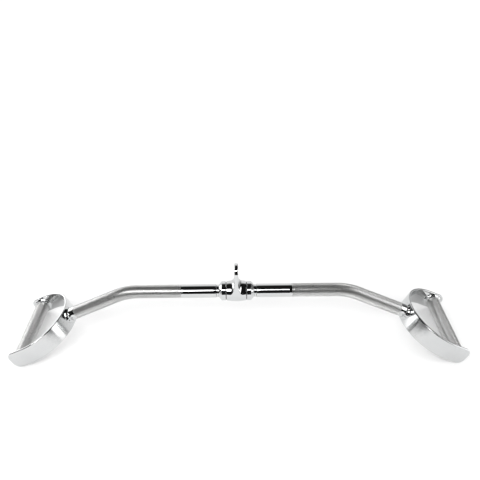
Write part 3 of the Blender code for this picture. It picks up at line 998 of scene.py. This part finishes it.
FRAME_SIZE = 480
FOCAL_PIXELS = 524.03
OPTICAL_CENTRE = (226.3, 300.73)
BAR_PIXEL = (236.38, 290.60)        # where the middle of the bar's axis lies
CAMERA_AZIMUTH = math.radians(-1.36)
CAMERA_ELEVATION = math.radians(38.86)
CAMERA_ROLL = math.radians(-1.49)
CAMERA_DISTANCE = 1.10128
SENSOR_WIDTH = 36.0


def camera_axes():
    """The camera's right, up and ahead, in the world."""
    ahead = Vector((math.sin(CAMERA_AZIMUTH) * math.cos(CAMERA_ELEVATION),
                    math.cos(CAMERA_AZIMUTH) * math.cos(CAMERA_ELEVATION), -math.sin(CAMERA_ELEVATION)))
    level = ahead.cross(Vector((0, 0, 1))).normalized()
    upright = level.cross(ahead)
    right = level * math.cos(CAMERA_ROLL) + upright * math.sin(CAMERA_ROLL)
    up = upright * math.cos(CAMERA_ROLL) - level * math.sin(CAMERA_ROLL)
    return right, up, ahead


def build_camera():
    right, up, ahead = camera_axes()
    aside = (BAR_PIXEL[0] - OPTICAL_CENTRE[0]) / FOCAL_PIXELS * CAMERA_DISTANCE
    above = (OPTICAL_CENTRE[1] - BAR_PIXEL[1]) / FOCAL_PIXELS * CAMERA_DISTANCE
    eye = PIVOT - right * aside - up * above - ahead * CAMERA_DISTANCE
    data = bpy.data.cameras.new("camera")
    data.sensor_width = SENSOR_WIDTH
    data.lens = FOCAL_PIXELS / FRAME_SIZE * SENSOR_WIDTH
    data.shift_x = (FRAME_SIZE / 2 - OPTICAL_CENTRE[0]) / FRAME_SIZE
    data.shift_y = (OPTICAL_CENTRE[1] - FRAME_SIZE / 2) / FRAME_SIZE
    camera = bpy.data.objects.new("camera", data)
    bpy.context.scene.collection.objects.link(camera)
    turn = Matrix((right, up, -ahead)).transposed().to_4x4()
    camera.matrix_world = Matrix.Translation(eye) @ turn
    bpy.context.scene.camera = camera


# Dressing

def outside_finishes():
    """The finishes of the pieces that show: mirror, strap, weld and knurl."""
    mirror = chrome("mirror_chrome", dark=(0.655, 0.665, 0.67), light=(0.685, 0.69, 0.69),
                    smooth=0.03, rough=0.05, ripple=0.00001, ripple_scale=60.0)
    strap = chrome("strap_chrome", dark=(0.64, 0.65, 0.655), light=(0.69, 0.695, 0.695),
                   smooth=0.10, rough=0.15, ripple=0.00003, ripple_scale=45.0)
    weld = chrome("weld_chrome", dark=(0.60, 0.61, 0.615), light=(0.68, 0.685, 0.685),
                  smooth=0.05, rough=0.12, ripple=0.00003, ripple_scale=500.0)
    # The dark groove colour and the lower metal in the grooves are painted shade in the knurl's grooves, with a
    # little grime.
    knurl = knurled_chrome("knurled_chrome_plate", flat=(0.87, 0.87, 0.865), groove=(0.38, 0.38, 0.376),
                           smooth=0.26, rough=0.35, dull=0.36, grime_and_shade=0.15)
    return mirror, strap, weld, knurl


def arm_bead_turn():
    """Turns a bead, whose height is Z, to stand on the strap's outer face towards the arm."""
    return Matrix(((0, 0, -1, 0), (1, 0, 0, 0), (0, -1, 0, 0), (0, 0, 0, 1)))


def dress_tube(node, mesh, placing, mirror, knurl):
    add_piece(f"{node}_tube", mesh, placing, "bar", [node], [mirror, knurl], even=False)


def dress_welds(name, bow, across, arm_bead, grip_bead, finish):
    facing_arm = bow @ Matrix.Translation((-STRAP_HALF, 0, 0)) @ arm_bead_turn()
    add_piece(f"arm_{name}_bead", arm_bead, facing_arm, "bar", [f"arm_weld_{name}"],
              [finish])
    for end, way in (("front", -1), ("rear", 1)):
        leg = across @ Matrix.Translation((0, way * GRIP_HALF, 0))
        facing_in = leg @ Matrix.Rotation(way * math.pi / 2, 4, "X")
        add_piece(f"grip_{name}_{end}_bead", grip_bead, facing_in, "bar",
                  [f"grip_weld_{name}_{end}"], [finish])


def dress_bar():
    mirror, plate, weld, knurl = outside_finishes()
    build_hanger(mirror)
    arm = arm_mesh()
    grip = grip_mesh()
    strap = strap_mesh()
    arm_bead = bead_mesh("arm_bead", stretch=0.1, seed=0.7, saddle=True)
    grip_bead = bead_mesh("grip_bead", stretch=0.4, seed=2.2, saddle=False)
    for name, turn in (("right", 0.0), ("left", math.pi)):
        half = Matrix.Translation(PIVOT) @ Matrix.Rotation(turn, 4, "Z")
        bow = half @ Matrix.Translation((CROWN_X, 0, -CROWN_DROP)) @ Matrix.Rotation(BEND_ANGLE, 4, "Y")
        across = bow @ Matrix.Translation((GRIP_REACH, 0, 0))
        build_plug(name, half, mirror)
        dress_tube(f"arm_{name}", arm, half, mirror, knurl)
        add_piece(f"stirrup_{name}_strap", strap, bow, "bar", [f"stirrup_{name}"], [plate])
        dress_tube(f"grip_{name}", grip, across, mirror, knurl)
        dress_welds(name, bow, across, arm_bead, grip_bead, weld)


def dress_inside():
    """Finishes for the pieces inside the hanger, which keep their CAD shapes."""
    steel = metal("turned_steel_shaft", dark=(0.42, 0.42, 0.42), light=(0.56, 0.56, 0.57),
                  smooth=0.28, rough=0.42, scale=300.0)
    bronze = metal("sintered_bronze", dark=(0.46, 0.32, 0.16), light=(0.60, 0.44, 0.24),
                   smooth=0.35, rough=0.50, scale=1200.0)
    washer = nylon("black_nylon_washer", dark=(0.018, 0.018, 0.019), light=(0.035, 0.035, 0.036),
                   smooth=0.45, rough=0.62, ripple=0.00005)
    for node, finish in (("spindle", steel), ("bush_left", bronze), ("bush_right", bronze),
                         ("thrust_washer_left", washer), ("thrust_washer_right", washer)):
        mesh = frame["nodes"][node].data
        mesh.materials.clear()
        mesh.materials.append(finish)


bpy.context.scene.view_settings.view_transform = "Standard"
dress_bar()
dress_inside()
build_floor()
build_panels()
build_world()
build_camera()
